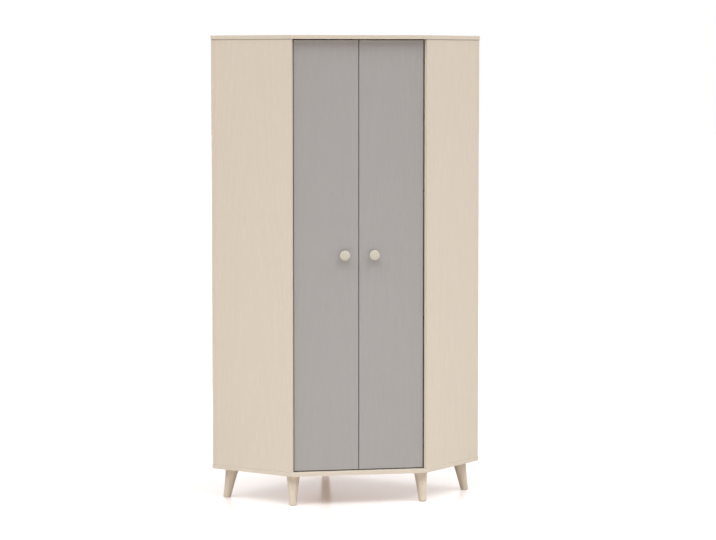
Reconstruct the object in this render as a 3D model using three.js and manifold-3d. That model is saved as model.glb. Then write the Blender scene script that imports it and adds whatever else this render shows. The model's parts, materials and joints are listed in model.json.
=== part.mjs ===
// Corner wardrobe with two inset doors, five splayed legs, a hat shelf and a hanging rail.
// Millimetres, +Z up, the front towards -Y, and the rear corner of the room towards +Y.
import * as THREE from "three";
import { mergeVertices } from "three/addons/utils/BufferGeometryUtils.js";
import Module from "manifold-3d";

const wasm = await Module();
wasm.setup();

// Carcass, seen from above as a square with one corner cut off by the doors
const WALL_SIDE = 900; // along each wall, from the rear corner
const END_DEPTH = 456; // square out from each wall
const CARCASS_HEIGHT = 2006;
const BOARD = 18;
const OVERHANG = 3; // of the top and bottom boards beyond the end panels
const END_MITRE = 5.8; // how far an end panel's front is cut back at its inner corner
const EDGE_CHAMFER = 0.6;
const SEAT_GAP = 0.3; // between pieces that are pushed together

// Doors, inset between the top and bottom boards
const DOOR_RECESS = 25; // of the door's face behind the front edge of the boards
const DOOR_SIDE_GAP = 3.8;
const DOOR_MEETING_GAP = 3.5;
const DOOR_TOP_GAP = 4.5;
const DOOR_BOTTOM_GAP = 5;

// Stops that both doors close against, one on each of the top and bottom boards
const STOP_LENGTH = 64;
const STOP_DEPTH = 12;
const STOP_HEIGHT = 20;
const STOP_SCREW_SPACING = 36;

// Turned knobs and the screws that hold them through the doors
const KNOB_FROM_EDGE = 67; // from the door's meeting edge
const KNOB_RISE = 4; // above the middle of the door's height
const KNOB_RADIUS = 23;
const KNOB_NECK_RADIUS = 8;
const KNOB_FOOT_RADIUS = 10;
const KNOB_PROJECTION = 30;
const KNOB_FOOT_HEIGHT = 2;
const KNOB_DOME = 3;
const KNOB_RIM = 9; // straight part of the head's rim
const KNOB_HEAD_ROUND = 4;
const KNOB_SCREW_RADIUS = 2;
const KNOB_SCREW_GRIP = 14; // length inside the knob
const KNOB_SCREW_HEAD_RADIUS = 5;
const KNOB_SCREW_HEAD_HEIGHT = 2.4;

// Legs, leaning out towards the nearest corner, and their bolts
const LEG_HEIGHT = 137;
const LEG_TOP_RADIUS = 31;
const LEG_WAIST_RADIUS = 23;
const LEG_FOOT_RADIUS = 17.5;
const LEG_SPLAY = 27; // of the foot's centre from the top's centre
const LEG_FROM_WALL_CORNER = 95; // top's centre from each right-angled corner
const FRONT_LEG_INSET_X = 16; // top's centre from each front corner
const FRONT_LEG_INSET_Y = 66;
const BOLT_RADIUS = 4;
const BOLT_GRIP = 34; // length inside the leg
const BOLT_HEAD_RADIUS = 9;
const BOLT_HEAD_HEIGHT = 2.5;
const HOLE_CLEARANCE = 0.3; // all round a bolt or a screw

// Hat shelf and hanging rail
const HAT_SPACE = 300; // clear height over the shelf
const SHELF_SETBACK = 90; // of its front edge behind the front edge of the boards
const RAIL_RADIUS = 12.5;
const RAIL_WALL = 1.5;
const RAIL_SPAN = 800; // between the two brackets
const RAIL_DEPTH = 330; // of its axis behind the front edge of the boards
const RAIL_DROP = 55; // of its axis below the shelf
const BRACKET_THICKNESS = 12;
const BRACKET_SOCKET_DEPTH = 8;
const BRACKET_RIM = 4.5; // of material round the rail
const BRACKET_NECK_WIDTH = 22;
const BRACKET_FLANGE_LENGTH = 64;
const BRACKET_FLANGE_WIDTH = 28;
const BRACKET_FLANGE_THICKNESS = 3;
const BRACKET_SCREW_SPACING = 44;
const WOOD_SCREW_HOLE_RADIUS = 2.3;

// Cup hinges. In plan, u runs along the door from its hinge edge, and depths count from its back face
const HINGE_PLACES = ["bottom", "lower", "upper", "top"];
const HINGE_END_DISTANCE = 100; // of the outer hinges from the door's ends
const CUP_SETBACK = 22; // of the cup's centre from the door's edge
const CUP_RADIUS = 17.2;
const CUP_DEPTH = 12.5;
const CUP_FLOOR = 1;
const POCKET_LENGTH = 28;
const POCKET_WIDTH = 14.8;
const FLANGE_RADIUS = 18.6;
const FLANGE_THICKNESS = 1.4;
const EAR_RADIUS = 6;
const EAR_SPACING = 48;
const EAR_OFFSET = 9.5; // of the screws from the cup's centre
const PIN_RADIUS = 1.3;
const PIN_CLEARANCE = 0.18;
const CUP_PIN_DEPTH = 7.9; // of both cup pins below the door's back face
const OUTER_CUP_PIN_U = 23.4;
const INNER_CUP_PIN_U = 17;
const OUTER_ARM_PIN_U = 25;
const OUTER_ARM_PIN_HEIGHT = 10.4; // above the door's back face
const INNER_ARM_PIN_U = 29.3;
const INNER_ARM_PIN_HEIGHT = 5.7;
const LINK_END_RADIUS = 3.2;
const LINK_WAIST_RADIUS = 2.6; // half its width between the ends
const LINK_THICKNESS = 4.6;
const LINK_SPACING = 0.5; // between the two links
const OPEN_PIVOT_SLACK = 0.56; // radial play of the inner link on its cup pin
const OPEN_PIVOT_SHIFT_U = -0.5; // of the middle of that play from the pin at rest
const OPEN_PIVOT_SHIFT_V = 0.22;
const ARM_CHEEK = 1.6;
const ARM_CHEEK_CLEARANCE = 0.35; // between a link and a cheek
const ARM_WEB = 1.4;
const ARM_WEB_CLEARANCE = 0.4;
const ARM_BOSS_RADIUS = 3.4;
const ARM_BEAM_HEIGHT = 26; // of the beam's near edge above the door's back face
const ARM_BEAM_WIDTH = 8;
const ARM_NECK_INNER_U = 24.4;
const ARM_ROOT = 16; // solid length of the beam next to its plate
const PLATE_THICKNESS = 2.6;
const PLATE_LENGTH = 36; // along the end panel
const PLATE_HEIGHT = 58;
const PLATE_SCREW_SPACING = 32;

// Facets
const TURNED_SIDES = 24;
const KNOB_SIDES = 24;
const CUP_SIDES = 18;
const LINK_SIDES = 12;
const SMALL_SIDES = 10;
const PIN_SIDES = 8;
const LEG_STEPS = 4;
const KNOB_STEPS = 3;
const CUT_OVERRUN = 1;

// Places worked out from the sizes above. The boards' front edge lies on Y = 0 until the end
const SLANT = Math.SQRT1_2; // an end panel runs at 45 degrees to the front
const FRONT_HALF = (WALL_SIDE - END_DEPTH) * SLANT;
const HALF_WIDTH = FRONT_HALF + END_DEPTH * SLANT;
const WALL_CORNER_Y = END_DEPTH * SLANT;
const REAR_Y = WALL_CORNER_Y + WALL_SIDE * SLANT;
const INNER_BOTTOM_Z = LEG_HEIGHT + BOARD;
const INNER_TOP_Z = LEG_HEIGHT + CARCASS_HEIGHT - BOARD;
const SHELF_Z = INNER_TOP_Z - HAT_SPACE - BOARD;
const END_PANEL_FRONT = END_DEPTH + OVERHANG - OVERHANG / SLANT;
const END_PANEL_INNER = OVERHANG + BOARD;
const ARRIS = endPoint(1, END_PANEL_FRONT - END_MITRE, END_PANEL_INNER);
const HINGE_EDGE_X = ARRIS.x - DOOR_SIDE_GAP;
const DOOR_WIDTH = HINGE_EDGE_X - DOOR_MEETING_GAP / 2;
const DOOR_Z = INNER_BOTTOM_Z + DOOR_BOTTOM_GAP;
const DOOR_HEIGHT = INNER_TOP_Z - DOOR_TOP_GAP - DOOR_Z;
const KNOB_U = DOOR_WIDTH - KNOB_FROM_EDGE;
const KNOB_Z = DOOR_Z + DOOR_HEIGHT / 2 + KNOB_RISE;
const PANEL_LINE = ARRIS.y - DOOR_RECESS - DOOR_SIDE_GAP; // u + v on the end panel's inner face
const ARM_WIDTH = 2 * (LINK_THICKNESS + ARM_CHEEK_CLEARANCE + ARM_CHEEK) + LINK_SPACING;

// A point in plan, from the wall end of an end panel: along it to the front, and in from its outer line
function endPoint(side, along, inward) {
  const x = HALF_WIDTH - (along + inward) * SLANT;
  return new THREE.Vector2(side * x, WALL_CORNER_Y + (inward - along) * SLANT);
}

// Solids for joining and cutting, and back to geometry
function solidOf(geometry) {
  const bare = geometry.clone().deleteAttribute("normal").deleteAttribute("uv");
  const merged = mergeVertices(bare);
  return new wasm.Manifold(
    new wasm.Mesh({
      numProp: 3,
      vertProperties: merged.attributes.position.array,
      triVerts: new Uint32Array(merged.index.array),
    }),
  );
}

function geometryOf(solid) {
  const { vertProperties, triVerts } = solid.getMesh();
  const geometry = new THREE.BufferGeometry();
  geometry.setAttribute("position", new THREE.BufferAttribute(vertProperties, 3));
  geometry.setIndex(new THREE.BufferAttribute(triVerts, 1));
  const faceted = geometry.toNonIndexed();
  faceted.computeVertexNormals();
  return faceted;
}

function join(...geometries) {
  return geometryOf(geometries.map(solidOf).reduce((all, one) => all.add(one)));
}

function cut(geometry, ...tools) {
  return geometryOf(tools.map(solidOf).reduce((left, tool) => left.subtract(tool), solidOf(geometry)));
}

// A board's outline with its corners taken off
function chamfered(outline, size) {
  return outline.flatMap((corner, i) => {
    const before = outline[(i + outline.length - 1) % outline.length];
    const after = outline[(i + 1) % outline.length];
    return [before, after].map((next) =>
      corner.clone().addScaledVector(next.clone().sub(corner).normalize(), size),
    );
  });
}

// An outline raised along Z, with the rims of its two faces chamfered if rim is given
function prism(outline, height, rim = 0) {
  const shape = outline instanceof THREE.Shape ? outline : new THREE.Shape(outline);
  return new THREE.ExtrudeGeometry(shape, {
    depth: height - 2 * rim,
    bevelEnabled: rim > 0,
    bevelThickness: rim,
    bevelSize: rim,
    bevelOffset: -rim,
    bevelSegments: 1,
    curveSegments: SMALL_SIDES / 2,
  }).translate(0, 0, rim);
}

function box(from, to) {
  const size = to.clone().sub(from);
  const middle = from.clone().add(to).multiplyScalar(1 / 2);
  return new THREE.BoxGeometry(size.x, size.y, size.z).translate(middle.x, middle.y, middle.z);
}

// A plain round bar along Z
function bar(radius, from, to, sides = SMALL_SIDES) {
  return new THREE.CylinderGeometry(radius, radius, to - from, sides)
    .rotateX(Math.PI / 2)
    .translate(0, 0, (from + to) / 2);
}

// A profile of [radius, height] turned about Z
function turned(profile, sides) {
  const points = profile.map(([radius, height]) => new THREE.Vector2(radius, height));
  return new THREE.LatheGeometry(points, sides).rotateX(Math.PI / 2);
}

const mirrored = (points) => points.map((point) => new THREE.Vector2(-point.x, point.y)).reverse();

// Carcass boards
function pentagon() {
  const front = new THREE.Vector2(FRONT_HALF, 0);
  const wallCorner = new THREE.Vector2(HALF_WIDTH, WALL_CORNER_Y);
  const rear = new THREE.Vector2(0, REAR_Y);
  return chamfered([front, wallCorner, rear, ...mirrored([front, wallCorner])], EDGE_CHAMFER);
}

function topPanel() {
  return prism(pentagon(), BOARD, EDGE_CHAMFER).translate(0, 0, INNER_TOP_Z);
}

function bottomPanel() {
  const board = prism(pentagon(), BOARD, EDGE_CHAMFER).translate(0, 0, LEG_HEIGHT);
  const holes = LEG_PLACES.map(({ top }) =>
    bar(BOLT_RADIUS + HOLE_CLEARANCE, LEG_HEIGHT - CUT_OVERRUN, INNER_BOTTOM_Z + CUT_OVERRUN)
      .translate(top.x, top.y, 0),
  );
  return cut(board, ...holes);
}

function uprightPanel(outline) {
  const height = INNER_TOP_Z - INNER_BOTTOM_Z;
  return prism(chamfered(outline, EDGE_CHAMFER), height).translate(0, 0, INNER_BOTTOM_Z);
}

function endPanel(side) {
  return uprightPanel([
    endPoint(side, BOARD + SEAT_GAP, OVERHANG),
    endPoint(side, END_PANEL_FRONT, OVERHANG),
    endPoint(side, END_PANEL_FRONT - END_MITRE, END_PANEL_INNER),
    endPoint(side, BOARD + SEAT_GAP, END_PANEL_INNER),
  ]);
}

// The right back panel runs into the rear corner, and the left one stops against it
function backPanel(side) {
  const end = side > 0 ? WALL_SIDE : WALL_SIDE - BOARD - SEAT_GAP;
  return uprightPanel([
    endPoint(side, 0, OVERHANG),
    endPoint(side, BOARD, OVERHANG),
    endPoint(side, BOARD, end),
    endPoint(side, 0, end),
  ]);
}

function hatShelf() {
  const along = BOARD + SEAT_GAP;
  const inward = END_PANEL_INNER + SEAT_GAP;
  const frontAlong = (WALL_CORNER_Y - SHELF_SETBACK) / SLANT + inward;
  const half = [endPoint(1, frontAlong, inward), endPoint(1, along, inward)];
  const rear = new THREE.Vector2(0, REAR_Y - along / SLANT);
  const outline = [...half, rear, ...mirrored(half)];
  return prism(chamfered(outline, EDGE_CHAMFER), BOARD, EDGE_CHAMFER).translate(0, 0, SHELF_Z);
}

// A block behind the doors' meeting edges, standing on height zero
function doorStop() {
  const near = DOOR_RECESS + BOARD + SEAT_GAP;
  const block = box(
    new THREE.Vector3(-STOP_LENGTH / 2, near, 0),
    new THREE.Vector3(STOP_LENGTH / 2, near + STOP_DEPTH, STOP_HEIGHT),
  );
  const screwHoles = [-1, 1].map((end) =>
    bar(WOOD_SCREW_HOLE_RADIUS, -CUT_OVERRUN, STOP_HEIGHT + CUT_OVERRUN, PIN_SIDES)
      .translate((end * STOP_SCREW_SPACING) / 2, near + STOP_DEPTH / 2, 0),
  );
  return cut(block, ...screwHoles);
}

// Legs. A place has the top's centre and the direction of the splay, towards the nearest corner
const LEG_PLACES = [
  ...[-1, 1].flatMap((side) => {
    const frontCorner = new THREE.Vector2(side * FRONT_HALF, 0);
    const frontInset = new THREE.Vector2(-side * FRONT_LEG_INSET_X, FRONT_LEG_INSET_Y);
    const wallCorner = new THREE.Vector2(side * HALF_WIDTH, WALL_CORNER_Y);
    const wallInset = new THREE.Vector2(-side * LEG_FROM_WALL_CORNER, 0);
    const word = side < 0 ? "left" : "right";
    return [
      legPlace(word + "_front", frontCorner, frontInset),
      legPlace(word + "_side", wallCorner, wallInset),
    ];
  }),
  legPlace("rear", new THREE.Vector2(0, REAR_Y), new THREE.Vector2(0, -LEG_FROM_WALL_CORNER)),
];

function legPlace(name, corner, inset) {
  return { name, top: corner.clone().add(inset), heading: Math.atan2(-inset.y, -inset.x) };
}

// Turned about its own leaning axis, then sawn level at the board and at the floor
function leg() {
  const length = Math.hypot(LEG_HEIGHT, LEG_SPLAY);
  const taper = new THREE.QuadraticBezierCurve(
    new THREE.Vector2(LEG_FOOT_RADIUS, 0),
    new THREE.Vector2(2 * LEG_WAIST_RADIUS - (LEG_FOOT_RADIUS + LEG_TOP_RADIUS) / 2, length / 2),
    new THREE.Vector2(LEG_TOP_RADIUS, length),
  ).getPoints(LEG_STEPS);
  const spare = LEG_SPLAY / 2;
  const profile = [
    [0, -spare],
    [LEG_FOOT_RADIUS, -spare],
    ...taper.map((point) => [point.x, point.y]),
    [LEG_TOP_RADIUS, length + spare],
    [0, length + spare],
  ];
  const leaning = turned(profile, TURNED_SIDES)
    .rotateY(-Math.atan2(LEG_SPLAY, LEG_HEIGHT))
    .translate(LEG_SPLAY, 0, 0);
  const reach = LEG_SPLAY + 2 * LEG_TOP_RADIUS;
  const waste = (low, high) =>
    box(new THREE.Vector3(-reach, -reach, low), new THREE.Vector3(reach, reach, high));
  return cut(
    leaning,
    waste(-LEG_HEIGHT, 0),
    waste(LEG_HEIGHT, 2 * LEG_HEIGHT),
    bar(BOLT_RADIUS + HOLE_CLEARANCE, LEG_HEIGHT - BOLT_GRIP - HOLE_CLEARANCE, LEG_HEIGHT + CUT_OVERRUN),
  );
}

// Its head lies on the bottom board, inside the wardrobe
function legBolt() {
  const headTop = INNER_BOTTOM_Z + BOLT_HEAD_HEIGHT;
  return turned(
    [
      [0, LEG_HEIGHT - BOLT_GRIP],
      [BOLT_RADIUS, LEG_HEIGHT - BOLT_GRIP],
      [BOLT_RADIUS, INNER_BOTTOM_Z],
      [BOLT_HEAD_RADIUS, INNER_BOTTOM_Z],
      [BOLT_HEAD_RADIUS, headTop],
      [0, headTop],
    ],
    SMALL_SIDES,
  );
}

// Hanging rail and the brackets that carry its ends under the shelf
function rail() {
  const half = RAIL_SPAN / 2 + BRACKET_SOCKET_DEPTH - SEAT_GAP;
  const bore = RAIL_RADIUS - RAIL_WALL;
  const profile = [
    [RAIL_RADIUS, -half],
    [RAIL_RADIUS, half],
    [bore, half],
    [bore, -half],
    [RAIL_RADIUS, -half],
  ];
  return turned(profile, TURNED_SIDES).rotateY(Math.PI / 2).translate(0, RAIL_DEPTH, SHELF_Z - RAIL_DROP);
}

// Built with its rail axis along X at the origin and its socket open towards -X
function railBracket() {
  const eye = RAIL_RADIUS + SEAT_GAP + BRACKET_RIM;
  const across = (radius, from, to) => bar(radius, from, to, TURNED_SIDES).rotateY(Math.PI / 2);
  const neck = box(
    new THREE.Vector3(0, -BRACKET_NECK_WIDTH / 2, 0),
    new THREE.Vector3(BRACKET_THICKNESS, BRACKET_NECK_WIDTH / 2, RAIL_DROP),
  );
  const flange = box(
    new THREE.Vector3(0, -BRACKET_FLANGE_LENGTH / 2, RAIL_DROP - BRACKET_FLANGE_THICKNESS),
    new THREE.Vector3(BRACKET_FLANGE_WIDTH, BRACKET_FLANGE_LENGTH / 2, RAIL_DROP),
  );
  const screwHoles = [-1, 1].map((end) =>
    bar(WOOD_SCREW_HOLE_RADIUS, RAIL_DROP - BRACKET_FLANGE_THICKNESS - CUT_OVERRUN, RAIL_DROP + CUT_OVERRUN)
      .translate(BRACKET_FLANGE_WIDTH / 2, (end * BRACKET_SCREW_SPACING) / 2, 0),
  );
  const body = join(across(eye, 0, BRACKET_THICKNESS), neck, flange);
  return cut(body, across(RAIL_RADIUS + SEAT_GAP, -CUT_OVERRUN, BRACKET_SOCKET_DEPTH), ...screwHoles);
}

// Doors. From here on x is u, along the door from its hinge edge, and y is v, back from its face
function door() {
  const outline = [
    new THREE.Vector2(0, DOOR_Z),
    new THREE.Vector2(DOOR_WIDTH, DOOR_Z),
    new THREE.Vector2(DOOR_WIDTH, DOOR_Z + DOOR_HEIGHT),
    new THREE.Vector2(0, DOOR_Z + DOOR_HEIGHT),
  ];
  const panel = prism(outline, BOARD, EDGE_CHAMFER).rotateX(Math.PI / 2).translate(0, BOARD, 0);
  const cupBores = HINGE_PLACES.map((place) =>
    bar(CUP_RADIUS + SEAT_GAP, -CUP_DEPTH - SEAT_GAP, CUT_OVERRUN, CUP_SIDES)
      .rotateX(-Math.PI / 2)
      .translate(CUP_SETBACK, BOARD, hingeHeight(place)),
  );
  const screwHole = bar(KNOB_SCREW_RADIUS + HOLE_CLEARANCE, -CUT_OVERRUN, BOARD + CUT_OVERRUN)
    .rotateX(-Math.PI / 2)
    .translate(KNOB_U, 0, KNOB_Z);
  return cut(panel, ...cupBores, screwHole);
}

function hingeHeight(place) {
  const step = (DOOR_HEIGHT - 2 * HINGE_END_DISTANCE) / (HINGE_PLACES.length - 1);
  return DOOR_Z + HINGE_END_DISTANCE + HINGE_PLACES.indexOf(place) * step;
}

// A foot on the door, a narrow neck and a domed head with rounded rims
function knob() {
  const hole = KNOB_SCREW_RADIUS + HOLE_CLEARANCE;
  const rimTop = KNOB_PROJECTION - KNOB_DOME;
  const rimBottom = rimTop - KNOB_RIM;
  const neck = new THREE.QuadraticBezierCurve(
    new THREE.Vector2(KNOB_FOOT_RADIUS, KNOB_FOOT_HEIGHT),
    new THREE.Vector2(KNOB_NECK_RADIUS - (KNOB_FOOT_RADIUS - KNOB_NECK_RADIUS), rimBottom / 2),
    new THREE.Vector2(KNOB_RADIUS - KNOB_HEAD_ROUND, rimBottom),
  ).getPoints(KNOB_STEPS);
  const shoulder = new THREE.QuadraticBezierCurve(
    new THREE.Vector2(KNOB_RADIUS - KNOB_HEAD_ROUND, rimBottom),
    new THREE.Vector2(KNOB_RADIUS, rimBottom),
    new THREE.Vector2(KNOB_RADIUS, rimBottom + KNOB_HEAD_ROUND),
  ).getPoints(KNOB_STEPS - 1);
  const face = new THREE.CubicBezierCurve(
    new THREE.Vector2(KNOB_RADIUS, rimTop - KNOB_HEAD_ROUND / 2),
    new THREE.Vector2(KNOB_RADIUS, rimTop + KNOB_DOME / 2),
    new THREE.Vector2(KNOB_RADIUS / 2, KNOB_PROJECTION),
    new THREE.Vector2(0, KNOB_PROJECTION),
  ).getPoints(KNOB_STEPS);
  const profile = [
    [0, KNOB_SCREW_GRIP + HOLE_CLEARANCE],
    [hole, KNOB_SCREW_GRIP + HOLE_CLEARANCE],
    [hole, 0],
    [KNOB_FOOT_RADIUS, 0],
    ...[...neck, ...shoulder.slice(1), ...face].map((point) => [point.x, point.y]),
  ];
  return turned(profile, KNOB_SIDES).rotateX(Math.PI / 2).translate(KNOB_U, 0, KNOB_Z);
}

function knobScrew() {
  const headTop = BOARD + KNOB_SCREW_HEAD_HEIGHT;
  const profile = [
    [0, -KNOB_SCREW_GRIP],
    [KNOB_SCREW_RADIUS, -KNOB_SCREW_GRIP],
    [KNOB_SCREW_RADIUS, BOARD],
    [KNOB_SCREW_HEAD_RADIUS, BOARD],
    [KNOB_SCREW_HEAD_RADIUS - KNOB_SCREW_HEAD_HEIGHT / 2, headTop],
    [0, headTop],
  ];
  return turned(profile, SMALL_SIDES).rotateX(-Math.PI / 2).translate(KNOB_U, 0, KNOB_Z);
}

// Hinge pieces, with the hinge's middle at height zero
const CUP_PIN_V = BOARD - CUP_PIN_DEPTH;
const OUTER_CUP_PIN = new THREE.Vector2(OUTER_CUP_PIN_U, CUP_PIN_V);
const INNER_CUP_PIN = new THREE.Vector2(INNER_CUP_PIN_U, CUP_PIN_V);
const OUTER_ARM_PIN = new THREE.Vector2(OUTER_ARM_PIN_U, BOARD + OUTER_ARM_PIN_HEIGHT);
const INNER_ARM_PIN = new THREE.Vector2(INNER_ARM_PIN_U, BOARD + INNER_ARM_PIN_HEIGHT);

const at = (geometry, place) => geometry.translate(place.x, place.y, 0);

function hingePin(place, halfLength) {
  return at(bar(PIN_RADIUS, -halfLength, halfLength, PIN_SIDES), place);
}

// A solid plug in the door's bore, with a flange on the door's back and a pocket that the links fold into
function hingeCup() {
  const flangeTop = BOARD + FLANGE_THICKNESS;
  const facing = (radius, low, high, sides) =>
    bar(radius, low, high, sides).rotateX(-Math.PI / 2).translate(CUP_SETBACK, 0, 0);
  const plug = facing(CUP_RADIUS, BOARD - CUP_DEPTH, flangeTop, CUP_SIDES);
  const flangeDisc = facing(FLANGE_RADIUS, BOARD, flangeTop, CUP_SIDES);
  const earShape = new THREE.Shape()
    .absarc(0, EAR_SPACING / 2, EAR_RADIUS, 0, Math.PI)
    .absarc(0, -EAR_SPACING / 2, EAR_RADIUS, Math.PI, 2 * Math.PI);
  const ears = prism(earShape, FLANGE_THICKNESS)
    .rotateX(Math.PI / 2)
    .translate(CUP_SETBACK + EAR_OFFSET, flangeTop, 0);
  const pocket = box(
    new THREE.Vector3(CUP_SETBACK - POCKET_LENGTH / 2, BOARD - CUP_DEPTH + CUP_FLOOR, -POCKET_WIDTH / 2),
    new THREE.Vector3(CUP_SETBACK + POCKET_LENGTH / 2, flangeTop + CUT_OVERRUN, POCKET_WIDTH / 2),
  );
  const screwHoles = [-1, 1].map((end) =>
    facing(WOOD_SCREW_HOLE_RADIUS, BOARD - CUT_OVERRUN, flangeTop + CUT_OVERRUN, PIN_SIDES)
      .translate(EAR_OFFSET, 0, (end * EAR_SPACING) / 2),
  );
  const pins = [OUTER_CUP_PIN, INNER_CUP_PIN].map((place) =>
    hingePin(place, POCKET_WIDTH / 2 + PIN_RADIUS),
  );
  return join(cut(join(plug, flangeDisc, ears), pocket, ...screwHoles), ...pins);
}

// A flat link between two pins, drawn in at its waist, on one half of the pins' length
function hingeLink(armPin, cupPin, holeCentre, holeRadius, half) {
  const thick = (radius, place) => at(bar(radius, 0, LINK_THICKNESS, LINK_SIDES), place);
  const along = cupPin.clone().sub(armPin);
  const square = new THREE.Vector2(-along.y, along.x).normalize();
  const corner = (end, side) => end.clone().addScaledVector(square, side * LINK_WAIST_RADIUS);
  const waist = prism(
    [corner(armPin, -1), corner(cupPin, -1), corner(cupPin, 1), corner(armPin, 1)],
    LINK_THICKNESS,
  );
  const blank = join(waist, thick(LINK_END_RADIUS, armPin), thick(LINK_END_RADIUS, holeCentre));
  const hole = (radius, place) =>
    at(bar(radius, -CUT_OVERRUN, LINK_THICKNESS + CUT_OVERRUN, PIN_SIDES), place);
  const link = cut(blank, hole(PIN_RADIUS + PIN_CLEARANCE, armPin), hole(holeRadius, holeCentre));
  return link.translate(0, 0, half > 0 ? LINK_SPACING / 2 : -LINK_SPACING / 2 - LINK_THICKNESS);
}

function outerLink() {
  return hingeLink(OUTER_ARM_PIN, OUTER_CUP_PIN, OUTER_CUP_PIN, PIN_RADIUS + PIN_CLEARANCE, -1);
}

// Its cup end is open by the play that the linkage needs, so its hole is larger and set to one side
function innerLink() {
  const shift = new THREE.Vector2(OPEN_PIVOT_SHIFT_U, OPEN_PIVOT_SHIFT_V);
  const radius = PIN_RADIUS + PIN_CLEARANCE + OPEN_PIVOT_SLACK;
  return hingeLink(INNER_ARM_PIN, INNER_CUP_PIN, INNER_CUP_PIN.clone().add(shift), radius, 1);
}

// A channel that reaches round the door's edge from a plate on the end panel and holds the links' pins
function hingeArm() {
  const neckOuter = INNER_ARM_PIN.x + LINK_END_RADIUS + ARM_WEB_CLEARANCE + ARM_WEB;
  const beamNear = BOARD + ARM_BEAM_HEIGHT;
  const beamFar = beamNear + ARM_BEAM_WIDTH;
  const panelAt = (v) => new THREE.Vector2(PANEL_LINE + SEAT_GAP / SLANT + PLATE_THICKNESS - v, v);
  const cheek = new THREE.Shape([
    new THREE.Vector2(OUTER_ARM_PIN.x - ARM_BOSS_RADIUS, OUTER_ARM_PIN.y),
    new THREE.Vector2(INNER_ARM_PIN.x, INNER_ARM_PIN.y),
    new THREE.Vector2(neckOuter, INNER_ARM_PIN.y),
    new THREE.Vector2(neckOuter, beamFar - ARM_BEAM_WIDTH / 2),
    new THREE.Vector2(neckOuter - ARM_BEAM_WIDTH / 2, beamFar),
    panelAt(beamFar),
    panelAt(beamNear),
    new THREE.Vector2(ARM_NECK_INNER_U, beamNear),
    new THREE.Vector2(ARM_NECK_INNER_U, OUTER_ARM_PIN.y + ARM_BOSS_RADIUS),
  ]);
  const wide = (geometry) => geometry.translate(0, 0, -ARM_WIDTH / 2);
  const boss = (place) => at(wide(bar(ARM_BOSS_RADIUS, 0, ARM_WIDTH, SMALL_SIDES)), place);
  const body = join(
    wide(prism(cheek, ARM_WIDTH)),
    boss(OUTER_ARM_PIN),
    boss(INNER_ARM_PIN),
    hingePlate(),
  );
  const inside = ARM_WIDTH - 2 * ARM_CHEEK;
  const channelEdge = neckOuter - ARM_WEB;
  const rootEnd = panelAt(beamNear).x + ARM_ROOT;
  const tip = INNER_ARM_PIN.y - ARM_BOSS_RADIUS - CUT_OVERRUN;
  const channel = prism(
    [
      new THREE.Vector2(OUTER_ARM_PIN.x - ARM_BOSS_RADIUS - CUT_OVERRUN, tip),
      new THREE.Vector2(channelEdge, tip),
      new THREE.Vector2(channelEdge, beamFar - ARM_BEAM_WIDTH / 2),
      new THREE.Vector2(neckOuter - ARM_BEAM_WIDTH / 2, beamFar - ARM_WEB),
      new THREE.Vector2(rootEnd, beamFar - ARM_WEB),
      new THREE.Vector2(rootEnd, beamNear - CUT_OVERRUN),
      new THREE.Vector2(OUTER_ARM_PIN.x - ARM_BOSS_RADIUS - CUT_OVERRUN, beamNear - CUT_OVERRUN),
    ],
    inside,
  ).translate(0, 0, -inside / 2);
  const pins = [OUTER_ARM_PIN, INNER_ARM_PIN].map((place) => hingePin(place, (ARM_WIDTH - ARM_CHEEK) / 2));
  return join(cut(body, channel), ...pins);
}

// Flat on the end panel, which it meets at 45 degrees, with two screw holes
function hingePlate() {
  const middle = BOARD + ARM_BEAM_HEIGHT + ARM_BEAM_WIDTH / 2;
  const plate = box(
    new THREE.Vector3(-PLATE_LENGTH / 2, SEAT_GAP, -PLATE_HEIGHT / 2),
    new THREE.Vector3(PLATE_LENGTH / 2, SEAT_GAP + PLATE_THICKNESS, PLATE_HEIGHT / 2),
  );
  const holes = [-1, 1].map((end) =>
    bar(WOOD_SCREW_HOLE_RADIUS, -CUT_OVERRUN, SEAT_GAP + PLATE_THICKNESS + CUT_OVERRUN, PIN_SIDES)
      .rotateX(-Math.PI / 2)
      .translate(0, 0, (end * PLATE_SCREW_SPACING) / 2),
  );
  return cut(plate, ...holes)
    .rotateZ(-Math.PI / 4)
    .translate(PANEL_LINE - middle, middle, 0);
}

// Finishes
const finish = (color, roughness, metalness = 0) =>
  new THREE.MeshStandardMaterial({ color, roughness, metalness });
const ashLaminate = () => finish(0xe0d0bb, 0.55);
const greyLaminate = () => finish(0xaba7a5, 0.55);
const paleWood = () => finish(0xe2d8c0, 0.5);
const legWood = () => finish(0xd8c6a8, 0.5);
const zincPlate = () => finish(0xa9abad, 0.35, 1);
const nickel = () => finish(0xc4c2bc, 0.28, 1);
const chrome = () => finish(0xd5d8da, 0.12, 1);
const greyPlastic = () => finish(0x5c5a58, 0.6);

function node(name, geometry, material) {
  const mesh = new THREE.Mesh(geometry, material);
  mesh.name = name;
  return mesh;
}

function doorSide(word, side) {
  const frame = new THREE.Group();
  frame.position.set(side * HINGE_EDGE_X, DOOR_RECESS, 0);
  frame.scale.x = -side;
  frame.add(node(word + "_door", door(), greyLaminate()));
  frame.add(node(word + "_knob", knob(), paleWood()));
  frame.add(node(word + "_knob_screw", knobScrew(), zincPlate()));
  for (const place of HINGE_PLACES) {
    const hinge = new THREE.Group();
    const name = word + "_" + place + "_hinge_";
    hinge.position.z = hingeHeight(place);
    hinge.add(node(name + "cup", hingeCup(), nickel()));
    hinge.add(node(name + "arm", hingeArm(), nickel()));
    hinge.add(node(name + "outer_link", outerLink(), zincPlate()));
    hinge.add(node(name + "inner_link", innerLink(), zincPlate()));
    frame.add(hinge);
  }
  return frame;
}

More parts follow.
